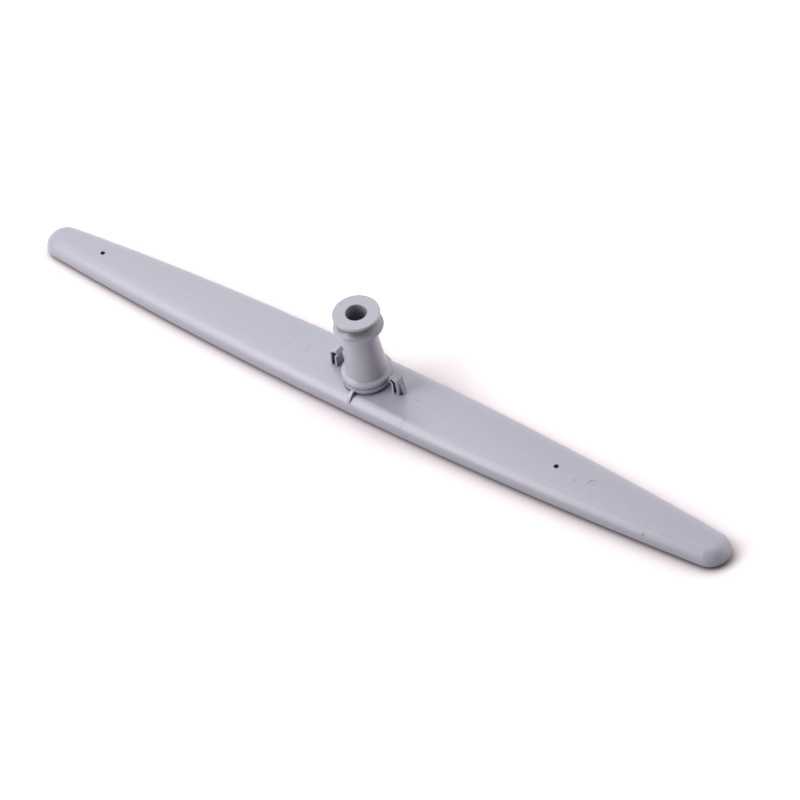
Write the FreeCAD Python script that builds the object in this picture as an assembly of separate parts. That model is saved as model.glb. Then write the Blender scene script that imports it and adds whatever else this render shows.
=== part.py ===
import FreeCAD, Part
import math
import os

# Dishwasher spray arm, lying on its jet face as it would on a table.
# Millimetres. X runs along the arm, Z goes up through the feed stem, Z zero is the table.
# Three mouldings: the upper shell with hub and clips, the lower shell with the jets,
# and the feed stem that turns in the hub.

# Arm outline and crown
arm_length = 461.0
arm_width = 39.4
tip_radius = 10.9
crown_height = 13.0
crown_drop_to_tips = 2.9
across_radius = 130.0
edge_round = 7.0
wall = 2.0

# Seam between the shells
rim_height = 2.8
plate_bottom = 0.9
plate_thickness = 1.8
seam_set_back = 0.35
lip_fit = 0.1
lip_thickness = 1.3
lip_height = 2.2
plate_round = 1.6

# Hub on the upper shell
hub_radius = 13.9
hub_ring_bottom = 14.1
hub_ring_top = 17.05
hub_ring_round = 0.7
hub_neck_radius = 12.6
hub_bore_radius = 11.0
sleeve_depth = 0.6

# Gussets in front of and behind the hub
gusset_thickness = 1.8
gusset_top = 14.9
gusset_shoulder = (16.9, 12.9)
gusset_toe = (18.8, 8.5)

# Clips beside the hub, each a closed hook with a buttress behind it
clip_width = 5.4
clip_width_spread = 0.4
clip_foot = 18.85
clip_leg = 0.95
clip_back = 22.5
clip_back_spread = 0.6
clip_back_leg = 0.8
clip_shoulder_height = 23.1
clip_ledge_height = 20.4
nose_reach = 1.6
nose_lead = 1.1
nose_bottom = 22.1
nose_top = 25.1
nose_wall = 0.75
clip_roof = 0.9
slot_foot_rise = 0.5
buttress_thickness = 1.5
buttress_reach = 2.6
buttress_top = 21.2
buttress_sink = 0.7

# Feed stem
stem_height = 63.0
bore_radius = 5.8
bore_length = 16.0
head_radius = 12.5
head_thickness = 1.7
head_round = 0.35
bore_edge = 0.3
waist_radius = 9.4
waist_drop = 3.6
waist_land = 0.9
waist_lead = 0.4
waist_flare = (0.9, 1.6)
collar_radius = 13.65
collar_height = 53.2
collar_half_rim = 0.65
neck_radius = 8.95
neck_drop = 3.9
neck_flare = (1.1, 2.3)
base_radius = 11.6
flange_radius = 13.9
flange_thickness = 2.1
flange_rise = 1.0
flange_round = 0.7
stem_wall = 2.0
bore_cone_length = 8.0
axial_play = 0.3
running_fit = 0.05
seat_edge = 0.35

# Snap fingers at the foot of the stem
bead_height = 0.6
bead_length = 0.9
bead_lead = 0.9
foot_chamfer = 0.3
finger_slot = 1.6
finger_length = 4.2
finger_slot_count = 2

# Jets
jet_radius = 1.4
jet_mouth_radius = 2.4
top_jets = [-190.0, 124.0]
pad_radius = 4.2
pad_length = 4.0
pad_round = 0.5
floor_jets = [-207.0, -168.0, -126.0, -81.0, -42.0, 58.0, 99.0, 143.0, 185.0, 210.0]
drive_jets = (floor_jets[0], floor_jets[-1])
drive_jet_tilt = 40.0

# Gate mark on the crown
gate_place = 147.0
gate_radius = 2.3
gate_depth = 0.2
gate_nub_radius = 0.6

# Derived places
half_length = arm_length / 2
half_width = arm_width / 2
tip_centre = half_length - tip_radius
side_radius = (tip_centre ** 2 + half_width ** 2 - tip_radius ** 2) / (2 * (half_width - tip_radius))
side_centre = side_radius - half_width
along_radius = half_length ** 2 / (2 * crown_drop_to_tips) + crown_drop_to_tips / 2
floor_top = plate_bottom + plate_thickness
flange_bottom = hub_ring_top + axial_play
flange_top = flange_bottom + flange_thickness
sleeve_bottom = crown_height - wall - sleeve_depth
spigot_radius = hub_bore_radius - running_fit
spigot_inner = spigot_radius - stem_wall


def point(x, y, z):
    return FreeCAD.Vector(x, y, z)


def lens_face(inset, height):
    """Plan of the arm, two long arcs closed by two round tips, moved in by inset."""
    side = side_radius - inset
    tip = tip_radius - inset
    spread = math.hypot(tip_centre, side_centre)
    tangent_x = side * tip_centre / spread
    tangent_y = side * side_centre / spread - side_centre
    waist = half_width - inset
    corners = [(-tangent_x, -tangent_y), (tangent_x, -tangent_y), (tangent_x, tangent_y), (-tangent_x, tangent_y)]
    middles = [(0, -waist), (tip_centre + tip, 0), (0, waist), (-tip_centre - tip, 0)]
    arcs = []
    for index, middle in enumerate(middles):
        start = point(*corners[index], height)
        end = point(*corners[(index + 1) % 4], height)
        arcs.append(Part.Arc(start, point(*middle, height), end).toShape())
    return Part.Face(Part.Wire(arcs))


def under_crown(drop):
    """Everything under the crowned top face lowered by drop."""
    top = crown_height - drop
    across = across_radius - drop
    axis_height = top - (along_radius - drop)
    reach = arm_width
    edge = top - across + math.sqrt(across ** 2 - reach ** 2)
    base = -arm_width
    arc = Part.Arc(point(0, -reach, edge), point(0, 0, top), point(0, reach, edge)).toShape()
    right = Part.makeLine(point(0, reach, edge), point(0, reach, base))
    bottom = Part.makeLine(point(0, reach, base), point(0, -reach, base))
    left = Part.makeLine(point(0, -reach, base), point(0, -reach, edge))
    section = Part.Face(Part.Wire([arc, right, bottom, left]))
    sweep = 2 * math.degrees(math.asin(0.6 * arm_length / along_radius))
    axis = FreeCAD.Vector(0, 1, 0)
    section.rotate(point(0, 0, axis_height), axis, -sweep / 2)
    return section.revolve(point(0, 0, axis_height), axis, sweep)


def arm_form(inset, bottom):
    """Arm body with crowned top and rounded top edge, offset inwards by inset."""
    prism = lens_face(inset, bottom).extrude(point(0, 0, 2 * crown_height))
    body = prism.common(under_crown(inset))
    round_foot = crown_height - crown_drop_to_tips - edge_round
    rim = [edge for edge in body.Edges if edge.BoundBox.ZMin > round_foot]
    return body.makeFillet(edge_round - inset, rim)


def turned(points):
    """Solid of revolution about Z. A point given with a middle point ends an arc."""
    edges = []
    start = points[0][-1]
    for step in points[1:] + points[:1]:
        end = step[-1]
        first = point(start[0], 0, start[1])
        last = point(end[0], 0, end[1])
        if len(step) == 2:
            edges.append(Part.Arc(first, point(step[0][0], 0, step[0][1]), last).toShape())
        else:
            edges.append(Part.makeLine(first, last))
        start = end
    return Part.Face(Part.Wire(edges)).revolve(point(0, 0, 0), FreeCAD.Vector(0, 0, 1), 360)


def quarter(centre, radius, angle):
    """Middle point of a small quarter round about centre, as radius and height."""
    turn = math.radians(angle)
    return (centre[0] + radius * math.cos(turn), centre[1] + radius * math.sin(turn))


def flat_prism(outline, thickness):
    """Plate of the given outline, standing in the XZ plane."""
    corners = [point(x, -thickness / 2, z) for x, z in outline]
    return Part.Face(Part.makePolygon(corners + corners[:1])).extrude(point(0, thickness, 0))


def clip(side):
    """Closed hook beside the hub. The nose points at the stem, and the sides spread to the foot."""
    root = crown_height - wall
    nose_tip = clip_foot - nose_reach
    nose_crest = nose_tip + nose_lead
    back_foot = clip_back + clip_back_spread
    hook = [
        (clip_foot, root),
        (clip_foot, clip_ledge_height),
        (nose_tip, nose_bottom),
        (nose_crest, nose_top),
        (clip_back, clip_shoulder_height),
        (back_foot, root),
    ]
    roof_slope = (nose_top - clip_shoulder_height) / (clip_back - nose_crest)
    slot_in = clip_foot + clip_leg
    slot_out = clip_back - clip_back_leg
    slot_foot = crown_height + slot_foot_rise
    slot_nose = nose_crest + nose_wall / 2
    roof_under = clip_shoulder_height - clip_roof
    slot = [
        (slot_in, slot_foot),
        (slot_in, clip_ledge_height + nose_wall / 2),
        (nose_tip + nose_wall, nose_bottom + nose_wall / 2),
        (slot_nose, roof_under + roof_slope * (clip_back - slot_nose)),
        (slot_out, roof_under + roof_slope * clip_back_leg),
        (back_foot - clip_back_leg, slot_foot),
    ]
    buttress = [
        (clip_back - clip_back_leg / 2, root),
        (clip_back - clip_back_leg / 2, buttress_top),
        (clip_back, buttress_top),
        (back_foot + buttress_reach, crown_height - buttress_sink),
        (back_foot + buttress_reach, root),
    ]
    half_top = clip_width / 2
    half_foot = half_top + clip_width_spread
    front = [
        point(0, -half_foot, crown_height),
        point(0, half_foot, crown_height),
        point(0, half_top, nose_top),
        point(0, -half_top, nose_top),
    ]
    low = [point(0, half_foot, root), point(0, -half_foot, root)]
    sides = Part.Face(Part.makePolygon(front[:1] + low[::-1] + front[1:] + front[:1]))
    body = flat_prism(hook, 2 * clip_width).common(sides.extrude(point(2 * clip_back, 0, 0)))
    body = body.cut(flat_prism(slot, 2 * clip_width))
    body = body.fuse(flat_prism(buttress, buttress_thickness))
    if side < 0:
        body = body.mirror(point(0, 0, 0), point(1, 0, 0))
    return body


def gusset(side):
    """Fin with a bowed edge that braces the hub ring towards the long edge of the arm."""
    root = gusset_toe[1]
    inner = hub_neck_radius - 1
    plane = -gusset_thickness / 2
    start = point(plane, hub_radius, gusset_top)
    end = point(plane, gusset_toe[0], gusset_toe[1])
    bow = Part.Arc(start, point(plane, *gusset_shoulder), end).toShape()
    corners = [end, point(plane, inner, root), point(plane, inner, gusset_top), start]
    rest = [Part.makeLine(a, b) for a, b in zip(corners, corners[1:])]
    body = Part.Face(Part.Wire([bow] + rest)).extrude(point(gusset_thickness, 0, 0))
    if side < 0:
        body = body.mirror(point(0, 0, 0), point(0, 1, 0))
    return body


def round_bar(x, radius, low, high):
    return Part.makeCylinder(radius, high - low, point(x, 0, low))


def gate_mark():
    """Shallow round recess in the crown with the gate's nub left in its middle."""
    mark_top = crown_height - gate_place ** 2 / (2 * along_radius)
    mark = round_bar(gate_place, gate_radius, mark_top - gate_depth, stem_height)
    return mark.cut(round_bar(gate_place, gate_nub_radius, 0, stem_height))


def upper_shell():
    round_centre = (hub_radius - hub_ring_round, hub_ring_bottom + hub_ring_round)
    ring = turned([
        ((hub_bore_radius, crown_height - wall),),
        ((hub_neck_radius, crown_height - wall),),
        ((hub_neck_radius, hub_ring_bottom),),
        ((hub_radius - hub_ring_round, hub_ring_bottom),),
        (quarter(round_centre, hub_ring_round, -45), (hub_radius, round_centre[1])),
        ((hub_radius, hub_ring_top - seat_edge),),
        ((hub_radius - seat_edge, hub_ring_top),),
        ((hub_bore_radius, hub_ring_top),),
    ])
    sleeve = Part.makeCylinder(hub_neck_radius, crown_height - sleeve_bottom, point(0, 0, sleeve_bottom))
    body = arm_form(0, rim_height).cut(gate_mark())
    for side in (-1, 1):
        body = body.fuse(clip(side))
        body = body.fuse(gusset(side))
    body = body.fuse(ring)
    body = body.cut(arm_form(wall, rim_height - 1))
    body = body.fuse(sleeve)
    body = body.cut(round_bar(0, hub_bore_radius, 0, stem_height))
    for x in top_jets:
        body = body.cut(round_bar(x, jet_radius, rim_height, stem_height))
    return body.removeSplitter()


def lower_shell():
    plate = lens_face(seam_set_back, plate_bottom).extrude(point(0, 0, rim_height - plate_bottom))
    low_edges = [edge for edge in plate.Edges if edge.BoundBox.ZMax < plate_bottom + 0.01]
    plate = plate.makeFillet(plate_round, low_edges)
    lip_top = rim_height + lip_height
    block = lens_face(wall, rim_height).extrude(point(0, 0, lip_height))
    block = block.common(arm_form(wall + lip_fit, rim_height))
    pocket = lens_face(wall + lip_fit + lip_thickness, floor_top).extrude(point(0, 0, lip_top))
    body = plate.fuse(block).cut(pocket)
    for x in floor_jets:
        body = body.fuse(jet_pad(x))
    for x in floor_jets:
        body = body.cut(jet_bore(x))
    return body.removeSplitter()


def jet_pad(x):
    """Low raised pad with round ends that the arm lies on."""
    half = pad_length / 2
    pad = round_bar(x - half, pad_radius, 0, floor_top)
    pad = pad.fuse(round_bar(x + half, pad_radius, 0, floor_top))
    middle = Part.makeBox(pad_length, 2 * pad_radius, floor_top, point(x - half, -pad_radius, 0))
    pad = pad.fuse(middle).removeSplitter()
    low_edges = [edge for edge in pad.Edges if edge.BoundBox.ZMax < 0.01]
    return pad.makeFillet(pad_round, low_edges)


def jet_bore(x):
    """Jet that widens inwards. The last jet at each end leans sideways and drives the arm."""
    depth = floor_top + 2
    bore = Part.makeCone(jet_radius, jet_mouth_radius, depth, point(x, 0, -1))
    if x in drive_jets:
        lean = math.copysign(drive_jet_tilt, x)
        bore = Part.makeCylinder(jet_radius, 4 * depth, point(x, 0, -2 * depth))
        bore.rotate(point(x, 0, plate_bottom), FreeCAD.Vector(1, 0, 0), lean)
    return bore


def feed_stem():
    head_bottom = stem_height - head_thickness
    head_centre = (head_radius - head_round, stem_height - head_round)
    waist = head_bottom - waist_drop / 2
    rim_top = collar_height + collar_half_rim
    rim_bottom = collar_height - collar_half_rim
    rim_in = collar_radius - collar_half_rim
    neck_top = rim_bottom - neck_drop
    rise_top = flange_top + flange_rise
    flange_centre = (flange_radius - flange_round, flange_top - flange_round)
    bead_top = sleeve_bottom - axial_play
    bead_bottom = bead_top - bead_length
    foot = bead_bottom - bead_lead
    bore_bottom = stem_height - bore_length
    cone_bottom = bore_bottom - bore_cone_length
    taper = (base_radius - neck_radius) / (neck_top - rise_top)
    duct_top = neck_radius + taper * (neck_top - cone_bottom) - stem_wall
    outer = [
        ((bore_radius + bore_edge, stem_height),),
        ((head_radius - head_round, stem_height),),
        (quarter(head_centre, head_round, 45), (head_radius, head_centre[1])),
        ((head_radius, head_bottom + head_round),),
        ((head_radius - head_round, head_bottom),),
        ((waist_radius + waist_lead, waist + waist_land / 2),),
        ((waist_radius, waist - waist_land / 2),),
        ((waist_radius + waist_flare[0], rim_top + waist_flare[1]), (rim_in, rim_top)),
        ((collar_radius, collar_height), (rim_in, rim_bottom)),
        ((neck_radius + neck_flare[0], neck_top + neck_flare[1]), (neck_radius, neck_top)),
        ((base_radius, rise_top),),
        ((flange_radius - flange_round, flange_top),),
        (quarter(flange_centre, flange_round, 45), (flange_radius, flange_centre[1])),
        ((flange_radius, flange_bottom + seat_edge),),
        ((flange_radius - seat_edge, flange_bottom),),
        ((spigot_radius, flange_bottom),),
        ((spigot_radius, bead_top),),
        ((spigot_radius + bead_height, bead_top),),
        ((spigot_radius + bead_height, bead_bottom),),
        ((spigot_radius - foot_chamfer, foot),),
    ]
    inner = [
        ((spigot_inner, foot),),
        ((spigot_inner, flange_top),),
        ((duct_top, cone_bottom),),
        ((bore_radius, bore_bottom),),
        ((bore_radius, stem_height - bore_edge),),
    ]
    body = turned(outer + inner)
    slot_top = foot + finger_length
    reach = 2 * flange_radius
    for index in range(finger_slot_count):
        slot = Part.makeBox(reach, finger_slot, slot_top - foot + 1, point(-reach / 2, -finger_slot / 2, foot - 1))
        slot.rotate(point(0, 0, 0), FreeCAD.Vector(0, 0, 1), 45 + index * 180 / finger_slot_count)
        body = body.cut(slot)
    return body


nodes = {"upper_shell": upper_shell(), "lower_shell": lower_shell(), "feed_stem": feed_stem()}
os.makedirs("parts", exist_ok=True)
for name, shape in nodes.items():
    shape.exportStep("parts/" + name + ".step")
    print(name, shape.isValid(), len(shape.Solids), round(shape.Volume), shape.BoundBox)
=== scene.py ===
import math

import bmesh
import bpy
from mathutils import Matrix, Vector


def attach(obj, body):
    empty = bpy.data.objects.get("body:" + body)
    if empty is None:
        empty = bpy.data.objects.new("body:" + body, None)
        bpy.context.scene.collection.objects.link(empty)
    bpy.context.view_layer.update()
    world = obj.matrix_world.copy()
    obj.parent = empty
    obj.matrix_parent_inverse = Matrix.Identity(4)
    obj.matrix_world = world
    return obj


# Metres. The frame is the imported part: X along the arm, Z up the feed stem, Z zero on the table.
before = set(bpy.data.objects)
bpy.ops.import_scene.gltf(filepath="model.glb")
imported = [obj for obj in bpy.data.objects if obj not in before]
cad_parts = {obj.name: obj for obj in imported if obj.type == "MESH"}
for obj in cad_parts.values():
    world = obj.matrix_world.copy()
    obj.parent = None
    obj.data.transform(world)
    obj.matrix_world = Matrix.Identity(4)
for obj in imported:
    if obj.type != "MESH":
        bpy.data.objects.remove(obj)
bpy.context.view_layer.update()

# Camera, as a direction, a distance and where the part's origin sits beside the view's axis
camera_azimuth = math.radians(44.67)
camera_elevation = math.radians(47.03)
camera_roll = math.radians(-10.49)
camera_distance = 1.9277
camera_aside = -0.0154
camera_below = 0.0040
lens_mm = 160.6

# Light: soft lamps as name, direction, distance, width, height and power
lamps = [
    ("front_low", (-0.479, -0.800, 0.300), 1.7, 1.0, 0.8, 7.0),
    ("front_skirt", (-0.200, -0.950, 0.200), 1.7, 1.2, 0.6, 2.2),
    ("front", (-0.479, -0.545, 0.686), 1.7, 1.2, 1.0, 11.3),
    ("key", (-0.479, -0.098, 0.873), 1.7, 1.4, 1.0, 3.8),
    ("key_back", (-0.479, 0.250, 0.840), 1.7, 1.0, 1.0, 2.7),
    ("back_left", (-0.400, 0.450, 0.800), 1.6, 3.0, 3.0, 12.7),
    ("back_low", (-0.300, 0.900, 0.300), 2.0, 2.0, 1.6, 4.4),
    ("back_right", (0.500, 0.800, 0.300), 2.0, 2.4, 2.4, 15.8),
    ("right_low", (0.900, 0.350, 0.300), 2.0, 1.6, 1.2, 3.2),
]

# Plastic, with the drift of its tone, its specks, and the two reaches of painted shade that darkens its
# recesses by ambient occlusion
arm_colour = (0.485, 0.475, 0.575)
stem_colour = (0.499, 0.489, 0.578)
plastic_roughness = 0.28
plastic_ior = 1.7
sheen_drift = 0.03
tone_drift = 0.02
speck_onset = 0.70
speck_full = 0.78
speck_share = 0.12
speck_tone = 0.55
grain_height = 0.00004
crease_reach = 0.006
crease_open = 0.7
crease_shade_tone = 0.15
hollow_reach = 0.014
hollow_open = 0.45
hollow_shade_tone = 0.1
painted_recess_shades = [(crease_reach, crease_open, crease_shade_tone), (hollow_reach, hollow_open, hollow_shade_tone)]

# Painted shade in the groove under the stem's head, as its span of height, of radius, and of depth from
# dark to open
groove_span = (0.0538, 0.0612)
groove_reach = (0.0084, 0.02)
groove_depth = (0.0094, 0.0124)
groove_shade_tone = 0.12

# Rim of the stem's head, as radius and height in millimetres
head_rim = [
    (12.3, 63.0), (12.45, 63.0), (12.68, 62.93), (12.81, 62.78), (12.85, 62.6),
    (12.85, 61.45), (12.8, 61.28), (12.65, 61.2), (12.3, 61.2),
]

# Dark ring of plastic in the gap between the flange and the hub, as painted shade of the gap
seat_gap_shade = [(13.3, 16.92), (13.8, 16.92), (13.8, 17.55), (13.3, 17.55)]
seat_gap_shade_tone = 0.15

# Flat land on the stem's flange
flange_land = [
    (11.4, 19.6), (11.4, 20.12), (13.25, 19.98), (13.62, 19.85),
    (13.83, 19.6), (13.9, 19.3), (13.9, 18.4), (13.2, 18.4),
]

# Rings of revolution: steps round the axis, and the angle from which an edge is sharp
turned_steps = 192
turned_crease = math.radians(28)

# Courses of the marks on the crown, as X and Y in millimetres from the hub
dash_course = [(31.7, -0.7), (34.5, -0.4)]
foot_course = [(-64.9, -6.9), (-59.7, -6.7), (-54.6, -6.3), (-53.7, -5.6), (-53.5, -4.6), (-53.6, 4.7)]
bow_course = [(-62.6, -4.9), (-64.2, -3.7), (-64.9, -1.9), (-64.9, 1.6), (-64.5, 3.2), (-63.4, 4.2)]
left_bar_course = [(-43.4, 1.0), (-42.8, -2.1)]
right_bar_course = [(-41.0, 1.5), (-41.1, -2.8)]

# Marks as name, course, width, rise and tone, the tone darkening each as painted shade of its relief
marks = [
    ("crown_dash", dash_course, 0.55, 0.03, 0.6),
    ("frame_foot", foot_course, 0.4, 0.05, 0.9),
    ("frame_bow", bow_course, 0.4, 0.04, 0.93),
    ("bar_left", left_bar_course, 0.4, 0.04, 0.9),
    ("bar_right", right_bar_course, 0.4, 0.04, 0.9),
]

# Ring as centre and radius, with its width, rise and tone, the tone darkening it as painted shade of its
# relief
ring_mark = (-44.6, -1.0, 3.6)
ring_ridge = (0.4, 0.04, 0.93)

# Small round spots as name, place, radius and tone, the tone darkening each as painted shade of a pit
pit_marks = [("pit_inner", 137.3, -2.9, 0.75, 0.8), ("pit_outer", 186.6, -12.2, 0.8, 0.65)]
pit_steps = 24

# Ridges and spots: how far the foot sinks in the shell, a ridge's reach either side of its course at
# foot and top as shares of its width, and the height from which marks are dropped on the crown
ridge_sink = 0.06
ridge_foot = 1.3
ridge_top = 0.6
mark_height = 40

# Mould line across the rounded front edge, darkened by its tone as painted shade of its relief, with the
# shell's half width and top there
mould_line_place = 34.9
mould_line_ridge = (0.4, 0.05, 0.8)
edge_round = 7.0
shell_half_width = 19.2
shell_top = 12.36

# Floor
floor_size = 6.0
floor_colour = (0.495, 0.455, 0.465)
floor_seen = 3.5
floor_shade_reach = 0.06
floor_fade = (0.4, 0.9)


def shader_nodes(name):
    """New material with its node tree emptied, and a helper that adds a node to it."""
    material = bpy.data.materials.new(name)
    material.use_nodes = True
    tree = material.node_tree
    tree.nodes.clear()

    def add(kind, **settings):
        node = tree.nodes.new(kind)
        for key, value in settings.items():
            if key in node.inputs:
                node.inputs[key].default_value = value
            else:
                setattr(node, key, value)
        return node

    return material, tree, add


def groove_shade(add, link, place):
    """Factor of painted shade that darkens the stem's groove under the head, by depth inside its height
    span.
    """
    parts = add("ShaderNodeSeparateXYZ")
    link(place.outputs["Object"], parts.inputs["Vector"])
    plan = add("ShaderNodeCombineXYZ")
    link(parts.outputs["X"], plan.inputs["X"])
    link(parts.outputs["Y"], plan.inputs["Y"])
    radius = add("ShaderNodeVectorMath", operation="LENGTH")
    link(plan.outputs["Vector"], radius.inputs[0])
    depth = add("ShaderNodeMapRange")
    depth.inputs["From Min"].default_value = groove_depth[0]
    depth.inputs["From Max"].default_value = groove_depth[1]
    depth.inputs["To Min"].default_value = groove_shade_tone
    link(radius.outputs["Value"], depth.inputs["Value"])
    inside = add("ShaderNodeMath", operation="MULTIPLY")
    reaches = ((parts.outputs["Z"], groove_span), (radius.outputs["Value"], groove_reach))
    for socket, (value, (low, high)) in enumerate(reaches):
        within = add("ShaderNodeMath", operation="COMPARE")
        within.inputs[1].default_value = (low + high) / 2
        within.inputs[2].default_value = (high - low) / 2
        link(value, within.inputs[0])
        link(within.outputs["Value"], inside.inputs[socket])
    factor = add("ShaderNodeMix", data_type="FLOAT")
    factor.inputs["A"].default_value = 1.0
    link(inside.outputs["Value"], factor.inputs["Factor"])
    link(depth.outputs["Result"], factor.inputs["B"])
    return factor.outputs["Result"]


def moulded_plastic(name, colour, groove_shaded=False):
    """Satin moulded plastic: slow drift of tone, sparse specks, very fine grain, darker in recesses and,
    if asked, in the stem's groove as painted shade.
    """
    material, tree, add = shader_nodes(name)
    link = tree.links.new
    place = add("ShaderNodeTexCoord")
    drift = add("ShaderNodeTexNoise", Scale=11.0, Detail=1.0, Roughness=0.4)
    grain = add("ShaderNodeTexNoise", Scale=2600.0, Detail=2.0, Roughness=0.5)
    specks = add("ShaderNodeTexNoise", Scale=520.0, Detail=1.0, Roughness=0.5)
    for noise in (drift, grain, specks):
        link(place.outputs["Object"], noise.inputs["Vector"])
    tone = add("ShaderNodeMix", data_type="RGBA")
    tone.inputs["A"].default_value = [(1 - tone_drift) * c for c in colour] + [1.0]
    tone.inputs["B"].default_value = [(1 + tone_drift) * c for c in colour] + [1.0]
    link(drift.outputs["Fac"], tone.inputs["Factor"])
    speck_mask = add("ShaderNodeMapRange")
    speck_mask.inputs["From Min"].default_value = speck_onset
    speck_mask.inputs["From Max"].default_value = speck_full
    speck_mask.inputs["To Max"].default_value = speck_share
    link(specks.outputs["Fac"], speck_mask.inputs["Value"])
    mixed = add("ShaderNodeMix", data_type="RGBA")
    mixed.inputs["B"].default_value = [speck_tone * c for c in colour] + [1.0]
    link(speck_mask.outputs["Result"], mixed.inputs["Factor"])
    link(tone.outputs["Result"], mixed.inputs["A"])
    last = mixed.outputs["Result"]
    if groove_shaded:
        # Painted shade darkens the groove under the stem's head
        groove_darkened = add("ShaderNodeVectorMath", operation="SCALE")
        link(last, groove_darkened.inputs[0])
        link(groove_shade(add, link, place), groove_darkened.inputs["Scale"])
        last = groove_darkened.outputs["Vector"]
    # Painted shade: the colour darkens where ambient occlusion finds the surface tucked into a recess
    for reach, wide_open, shade_inside in painted_recess_shades:
        tucked = add("ShaderNodeAmbientOcclusion", Distance=reach, samples=10)
        recess_darkening = add("ShaderNodeMapRange")
        recess_darkening.inputs["From Max"].default_value = wide_open
        recess_darkening.inputs["To Min"].default_value = shade_inside
        link(tucked.outputs["AO"], recess_darkening.inputs["Value"])
        shaded = add("ShaderNodeVectorMath", operation="SCALE")
        link(last, shaded.inputs[0])
        link(recess_darkening.outputs["Result"], shaded.inputs["Scale"])
        last = shaded.outputs["Vector"]
    sheen_spread = add("ShaderNodeMapRange")
    sheen_spread.inputs["To Min"].default_value = plastic_roughness - sheen_drift
    sheen_spread.inputs["To Max"].default_value = plastic_roughness + sheen_drift
    link(grain.outputs["Fac"], sheen_spread.inputs["Value"])
    fine = add("ShaderNodeBump", Strength=0.10, Distance=grain_height)
    link(grain.outputs["Fac"], fine.inputs["Height"])
    surface = add("ShaderNodeBsdfPrincipled")
    surface.inputs["IOR"].default_value = plastic_ior
    link(last, surface.inputs["Base Color"])
    link(sheen_spread.outputs["Result"], surface.inputs["Roughness"])
    link(fine.outputs["Normal"], surface.inputs["Normal"])
    out = add("ShaderNodeOutputMaterial")
    link(surface.outputs["BSDF"], out.inputs["Surface"])
    return material


def shown_rays(new, link):
    """Socket that is 1 for rays of the camera, of gloss and of clear matter, and 0 for the others."""
    path = new("ShaderNodeLightPath")
    total = path.outputs["Is Camera Ray"]
    for kind in ("Is Glossy Ray", "Is Transmission Ray"):
        either = new("ShaderNodeMath")
        either.operation = "MAXIMUM"
        link(total, either.inputs[0])
        link(path.outputs[kind], either.inputs[1])
        total = either.outputs["Value"]
    return total


def floor_material():
    """Matt pale card, darkened near the part by painted contact shadow, seen by the camera and in gloss as
    white with its shadow kept.
    """
    material, tree, add = shader_nodes("floor_card")
    link = tree.links.new
    place = add("ShaderNodeTexCoord")
    fibre = add("ShaderNodeTexNoise", Scale=900.0, Detail=2.0)
    link(place.outputs["Object"], fibre.inputs["Vector"])
    tone = add("ShaderNodeMix", data_type="RGBA")
    tone.inputs["A"].default_value = [0.99 * c for c in floor_colour] + [1.0]
    tone.inputs["B"].default_value = list(floor_colour) + [1.0]
    link(fibre.outputs["Fac"], tone.inputs["Factor"])
    # Painted contact shadow: the card's colour darkens with ambient occlusion near the part
    contact_occlusion = add("ShaderNodeAmbientOcclusion", Distance=floor_shade_reach, samples=16)
    painted_contact_shadow = add("ShaderNodeVectorMath", operation="SCALE")
    link(tone.outputs["Result"], painted_contact_shadow.inputs[0])
    link(contact_occlusion.outputs["AO"], painted_contact_shadow.inputs["Scale"])
    shown = shown_rays(add, link)
    gain = add("ShaderNodeMapRange")
    gain.inputs["To Min"].default_value = 1.0
    gain.inputs["To Max"].default_value = floor_seen
    link(shown, gain.inputs["Value"])
    lifted = add("ShaderNodeVectorMath", operation="SCALE")
    link(painted_contact_shadow.outputs["Vector"], lifted.inputs[0])
    link(gain.outputs["Result"], lifted.inputs["Scale"])
    card = add("ShaderNodeBsdfDiffuse")
    link(lifted.outputs["Vector"], card.inputs["Color"])
    reach = add("ShaderNodeVectorMath", operation="LENGTH")
    link(place.outputs["Object"], reach.inputs[0])
    far = add("ShaderNodeMapRange", interpolation_type="SMOOTHSTEP")
    far.inputs["From Min"].default_value, far.inputs["From Max"].default_value = floor_fade
    link(reach.outputs["Value"], far.inputs["Value"])
    share = add("ShaderNodeMath", operation="MULTIPLY")
    link(far.outputs["Result"], share.inputs[0])
    link(shown, share.inputs[1])
    white = add("ShaderNodeEmission")
    blend = add("ShaderNodeMixShader")
    link(share.outputs["Value"], blend.inputs["Fac"])
    link(card.outputs["BSDF"], blend.inputs[1])
    link(white.outputs["Emission"], blend.inputs[2])
    out = add("ShaderNodeOutputMaterial")
    link(blend.outputs["Shader"], out.inputs["Surface"])
    return material


def room():
    """Dark room, which the camera and gloss see as plain white, so that the lamps alone light the part."""
    world = bpy.data.worlds.new("room")
    bpy.context.scene.world = world
    world.use_nodes = True
    tree = world.node_tree
    tree.nodes.clear()
    unlit = tree.nodes.new("ShaderNodeBackground")
    unlit.inputs["Strength"].default_value = 0.0
    seen = tree.nodes.new("ShaderNodeBackground")
    seen.inputs["Color"].default_value = (1.0, 1.0, 1.0, 1.0)
    mix = tree.nodes.new("ShaderNodeMixShader")
    out = tree.nodes.new("ShaderNodeOutputWorld")
    tree.links.new(shown_rays(tree.nodes.new, tree.links.new), mix.inputs["Fac"])
    tree.links.new(unlit.outputs["Background"], mix.inputs[1])
    tree.links.new(seen.outputs["Background"], mix.inputs[2])
    tree.links.new(mix.outputs["Shader"], out.inputs["Surface"])


def lamp(name, direction, distance, width, height, power):
    """Flat soft lamp that points at the hub, with its width level."""
    data = bpy.data.lights.new(name, "AREA")
    data.shape = "RECTANGLE"
    data.size = width
    data.size_y = height
    data.energy = power
    item = bpy.data.objects.new(name, data)
    bpy.context.scene.collection.objects.link(item)
    away = Vector(direction).normalized()
    item.location = away * distance
    item.rotation_euler = away.to_track_quat("Z", "Y").to_euler()
    return item


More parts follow.
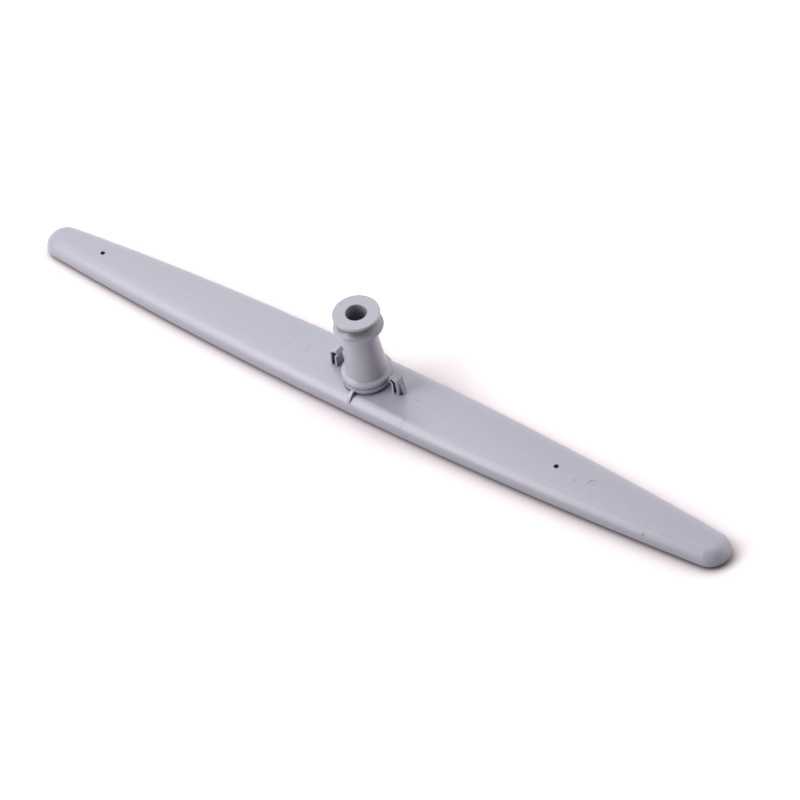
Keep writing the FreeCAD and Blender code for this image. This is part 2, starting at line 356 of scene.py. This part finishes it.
def add_camera():
    """Camera at the photograph's angle, with its sideways roll."""
    a, e, r = camera_azimuth, camera_elevation, camera_roll
    right = Vector((math.cos(a), math.sin(a), 0))
    back = Vector((math.sin(a) * math.cos(e), -math.cos(a) * math.cos(e), math.sin(e)))
    up = back.cross(right)
    across = math.cos(r) * right + math.sin(r) * up
    above = math.cos(r) * up - math.sin(r) * right
    data = bpy.data.cameras.new("camera")
    data.lens = lens_mm
    data.sensor_width = 36.0
    item = bpy.data.objects.new("camera", data)
    turn = Matrix((across, above, back)).transposed().to_4x4()
    place = back * camera_distance - across * camera_aside - above * camera_below
    item.matrix_world = Matrix.Translation(place) @ turn
    bpy.context.scene.collection.objects.link(item)
    bpy.context.scene.camera = item


def add_floor():
    """Square floor under the part, which belongs to the scene alone."""
    half = floor_size / 2
    corners = [(-half, -half, 0), (half, -half, 0), (half, half, 0), (-half, half, 0)]
    mesh = bpy.data.meshes.new("floor")
    mesh.from_pydata(corners, [], [(0, 1, 2, 3)])
    item = bpy.data.objects.new("floor", mesh)
    item.data.materials.append(floor_material())
    bpy.context.scene.collection.objects.link(item)


def paint(node, material):
    """Gives a CAD node its finish in every slot that it has."""
    for place in node.material_slots:
        place.material = material


def turned_piece(name, profile, material):
    """Ring of revolution about the stem's axis from a closed profile in millimetres."""
    count = len(profile)
    corners = []
    for step in range(turned_steps):
        angle = 2 * math.pi * step / turned_steps
        corners += [(r * math.cos(angle) / 1000, r * math.sin(angle) / 1000, z / 1000) for r, z in profile]
    faces = []
    for step in range(turned_steps):
        here, there = step * count, (step + 1) % turned_steps * count
        for index in range(count):
            after = (index + 1) % count
            faces.append((here + index, there + index, there + after, here + after))
    piece = new_piece(name, corners, faces, material)
    piece.data.set_sharp_from_angle(angle=turned_crease)
    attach(piece, "stem")


def new_piece(name, corners, faces, material):
    """Smooth shaded mesh in the scene, with its faces turned outward."""
    mesh = bpy.data.meshes.new(name)
    mesh.from_pydata(corners, [], faces)
    mesh.materials.append(material)
    for face in mesh.polygons:
        face.use_smooth = True
    mesh.update()
    piece = bpy.data.objects.new(name, mesh)
    bpy.context.scene.collection.objects.link(piece)
    outward = bmesh.new()
    outward.from_mesh(mesh)
    bmesh.ops.recalc_face_normals(outward, faces=outward.faces)
    outward.to_mesh(mesh)
    outward.free()
    return piece


def on_shell(start, aim):
    """Where a ray from start, in millimetres, meets the upper shell, with the surface's normal there."""
    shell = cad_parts["upper_shell"]
    into = shell.matrix_world.inverted()
    begin = into @ (Vector(start) / 1000)
    hit, place, normal, _ = shell.ray_cast(begin, (into.to_3x3() @ Vector(aim)).normalized())
    if not hit:
        raise ValueError("a mark misses the shell")
    return shell.matrix_world @ place, (shell.matrix_world.to_3x3() @ normal).normalized()


def along_course(course, step=0.35):
    """Points on the crown under a course of X and Y in millimetres."""
    stops = []
    for (x0, y0), (x1, y1) in zip(course, course[1:]):
        count = max(1, round(math.hypot(x1 - x0, y1 - y0) / step))
        stops += [(x0 + (x1 - x0) * k / count, y0 + (y1 - y0) * k / count) for k in range(count)]
    stops.append(course[-1])
    return [on_shell((x, y, mark_height), (0, 0, -1)) for x, y in stops]


def lay_ridge(name, stops, width, rise, tone, closed=False):
    """Low ridge along points of the shell, with sloped sides let into the surface, darkened by its tone as
    painted shade.
    """
    corners, faces = [], []
    count = len(stops)
    for index, (place, normal) in enumerate(stops):
        before = stops[index - 1 if closed else max(index - 1, 0)][0]
        after = stops[(index + 1) % count if closed else min(index + 1, count - 1)][0]
        side = normal.cross(after - before).normalized() * width / 2000
        foot, top = normal * -ridge_sink / 1000, normal * rise / 1000
        low, high = side * ridge_foot, side * ridge_top
        corners += [place - low + foot, place - high + top, place + high + top, place + low + foot]
    for index in range(count if closed else count - 1):
        here, there = 4 * index, 4 * ((index + 1) % count)
        faces += [(here + k, here + k + 1, there + k + 1, there + k) for k in range(3)]
        faces.append((here + 3, here, there, there + 3))
    if not closed:
        last = 4 * (count - 1)
        faces += [(3, 2, 1, 0), (last, last + 1, last + 2, last + 3)]
    piece = new_piece(name, corners, faces, shade_toned_plastic(tone))
    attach(piece, "arm")


def lay_spot(name, x, y, radius, tone):
    """Small round spot on the crown, a hair proud of it, darkened by its tone as painted shade of a pit.
    """
    place, normal = on_shell((x, y, mark_height), (0, 0, -1))
    across = normal.orthogonal().normalized()
    beside = normal.cross(across)
    rims = []
    for reach, lift in ((radius, -ridge_sink), (radius, 0.015), (radius * 0.5, 0.02)):
        for step in range(pit_steps):
            angle = 2 * math.pi * step / pit_steps
            out = (across * math.cos(angle) + beside * math.sin(angle)) * reach / 1000
            rims.append(place + out + normal * lift / 1000)
    faces = [tuple(reversed(range(pit_steps))), tuple(range(2 * pit_steps, 3 * pit_steps))]
    for ring in (0, pit_steps):
        for here in range(pit_steps):
            after = (here + 1) % pit_steps
            faces.append((ring + here, ring + after, ring + pit_steps + after, ring + pit_steps + here))
    piece = new_piece(name, rims, faces, shade_toned_plastic(tone))
    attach(piece, "arm")


def shade_toned_plastic(tone):
    """The arm's plastic with its colour scaled down by a tone as painted shade, made once for each tone.
    """
    name = "arm_plastic_%d" % round(100 * tone)
    return bpy.data.materials.get(name) or moulded_plastic(name, [tone * c for c in arm_colour])


def mould_line():
    """Witness line of the mould across the rounded front edge."""
    centre = (mould_line_place, edge_round - shell_half_width, shell_top - edge_round)
    stops = []
    for step in range(61):
        angle = math.radians(-4 + 1.5 * step)
        aim = Vector((0, math.sin(angle), -math.cos(angle)))
        stops.append(on_shell(Vector(centre) - 20 * aim, aim))
    lay_ridge("mould_line", stops, *mould_line_ridge)


def round_course(x, y, radius):
    """Closed course of 36 stretches round a point, in millimetres."""
    angles = [math.radians(10 * k) for k in range(37)]
    return [(x + radius * math.cos(a), y + radius * math.sin(a)) for a in angles]


arm_plastic = moulded_plastic("arm_plastic", arm_colour)
stem_plastic = moulded_plastic("stem_plastic", stem_colour, groove_shaded=True)
paint(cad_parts["upper_shell"], arm_plastic)
paint(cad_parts["lower_shell"], arm_plastic)
paint(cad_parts["feed_stem"], stem_plastic)

turned_piece("head_rim", head_rim, stem_plastic)
turned_piece("flange_land", flange_land, stem_plastic)
# Painted shade: a near black ring fills the gap between the flange and the hub
turned_piece("seat_gap_shade", seat_gap_shade, shade_toned_plastic(seat_gap_shade_tone))
for name, course, width, rise, tone in marks:
    lay_ridge(name, along_course(course), width, rise, tone)
lay_ridge("ring_mark", along_course(round_course(*ring_mark))[:-1], *ring_ridge, closed=True)
for spot in pit_marks:
    lay_spot(*spot)
mould_line()

add_floor()
room()
for settings in lamps:
    lamp(*settings)
add_camera()

bpy.context.scene.view_settings.view_transform = "Standard"
